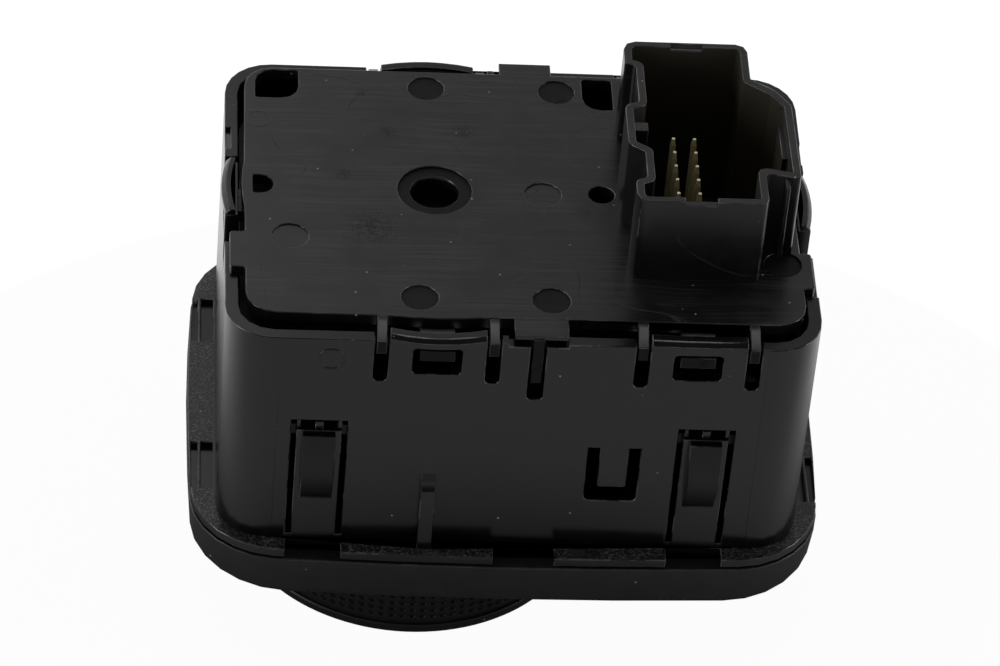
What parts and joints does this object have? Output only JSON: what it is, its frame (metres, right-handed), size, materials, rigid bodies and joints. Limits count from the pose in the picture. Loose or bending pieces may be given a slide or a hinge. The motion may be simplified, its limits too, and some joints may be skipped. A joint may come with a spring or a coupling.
{
  "type": "suspension control switch",
  "caption": "Dashboard rotary knob with push buttons in a snap-fit housing, keyed pin connector on the rear cover.",
  "frame": {"origin": "middle of the bounding box in X and Y, at the knob's front face", "axes": "+Z from the knob's face to the rear connector, +X along the long side towards the push buttons, +Y across the short side"},
  "size_m": [0.0778, 0.057, 0.0641],
  "materials": {
    "housing": "black glass-filled nylon, satin to glossy walls",
    "front_bezel": "black soft satin",
    "rear_cover": "black satin with fine scratches",
    "connector_header": "black moulded",
    "pin_01": "tinned pale brass",
    "pin_02": "tinned pale brass",
    "pin_03": "tinned pale brass",
    "pin_04": "tinned pale brass",
    "pin_05": "tinned pale brass",
    "pin_06": "tinned pale brass",
    "pin_07": "tinned pale brass",
    "pin_08": "tinned pale brass",
    "pin_09": "tinned pale brass",
    "pin_10": "tinned pale brass",
    "pin_11": "tinned pale brass",
    "pin_12": "tinned pale brass",
    "inner_frame": "pale moulded",
    "front_board": "green solder mask",
    "rear_board": "green solder mask",
    "board_screw_1": "zinc-plated steel",
    "board_screw_2": "zinc-plated steel",
    "board_screw_3": "zinc-plated steel",
    "board_screw_4": "zinc-plated steel",
    "board_connector": "black moulded",
    "controller_chip": "black moulded",
    "rotation_sensor_1": "black moulded",
    "rotation_sensor_2": "black moulded",
    "raise_led": "clear moulded lens",
    "lower_led": "clear moulded lens",
    "mode_dome": "grey silicone",
    "raise_dome": "grey silicone",
    "lower_dome": "grey silicone",
    "detent_spring_1": "bright spring steel",
    "detent_spring_2": "bright spring steel",
    "knob_grip": "black, finely textured side",
    "knob_core": "natural acetal",
    "detent_ring": "natural acetal",
    "encoder_ring": "black moulded",
    "mode_button": "black gloss",
    "raise_button": "black satin",
    "lower_button": "black satin",
    "detent_plunger_1": "natural acetal",
    "detent_plunger_2": "natural acetal"
  },
  "bodies": {
    "housing_body": {"housing": "housing", "front_bezel": "front_bezel", "rear_cover": "rear_cover", "connector_header": "connector_header", "pin_01": "pin_01", "pin_02": "pin_02", "pin_03": "pin_03", "pin_04": "pin_04", "pin_05": "pin_05", "pin_06": "pin_06", "pin_07": "pin_07", "pin_08": "pin_08", "pin_09": "pin_09", "pin_10": "pin_10", "pin_11": "pin_11", "pin_12": "pin_12", "inner_frame": "inner_frame", "front_board": "front_board", "rear_board": "rear_board", "board_screw_1": "board_screw_1", "board_screw_2": "board_screw_2", "board_screw_3": "board_screw_3", "board_screw_4": "board_screw_4", "board_connector": "board_connector", "controller_chip": "controller_chip", "rotation_sensor_1": "rotation_sensor_1", "rotation_sensor_2": "rotation_sensor_2", "raise_led": "raise_led", "lower_led": "lower_led", "mode_dome": "mode_dome", "raise_dome": "raise_dome", "lower_dome": "lower_dome", "detent_spring_1": "detent_spring_1", "detent_spring_2": "detent_spring_2"},
    "knob": {"knob_grip": "knob_grip", "knob_core": "knob_core", "detent_ring": "detent_ring", "encoder_ring": "encoder_ring"},
    "mode_button": {"mode_button": "mode_button"},
    "raise_button": {"raise_button": "raise_button"},
    "lower_button": {"lower_button": "lower_button"},
    "detent_plunger_1": {"detent_plunger_1": "detent_plunger_1"},
    "detent_plunger_2": {"detent_plunger_2": "detent_plunger_2"}
  },
  "joints": [
    {"name": "knob_turn", "type": "hinge", "parent": "housing_body", "child": "knob", "pos_m": [-0.0105, 0, 0.006], "axis": [0, 0, 1], "continuous": true},
    {"name": "mode_press", "type": "slide", "parent": "housing_body", "child": "mode_button", "axis": [0, 0, 1], "range_m": [0, 0.001], "stiffness_N_per_m": 2500, "springref_m": -0.0008, "deforming": ["mode_dome"]},
    {"name": "raise_press", "type": "slide", "parent": "housing_body", "child": "raise_button", "axis": [0, 0, 1], "range_m": [0, 0.001], "stiffness_N_per_m": 2500, "springref_m": -0.0008, "deforming": ["raise_dome"]},
    {"name": "lower_press", "type": "slide", "parent": "housing_body", "child": "lower_button", "axis": [0, 0, 1], "range_m": [0, 0.001], "stiffness_N_per_m": 2500, "springref_m": -0.0008, "deforming": ["lower_dome"]},
    {"name": "detent_1", "type": "slide", "parent": "housing_body", "child": "detent_plunger_1", "axis": [0, 0, 1], "range_m": [0, 0.0006], "stiffness_N_per_m": 900, "springref_m": -0.001, "deforming": ["detent_spring_1"]},
    {"name": "detent_2", "type": "slide", "parent": "housing_body", "child": "detent_plunger_2", "axis": [0, 0, 1], "range_m": [0, 0.0006], "stiffness_N_per_m": 900, "springref_m": -0.001, "deforming": ["detent_spring_2"]}
  ]
}
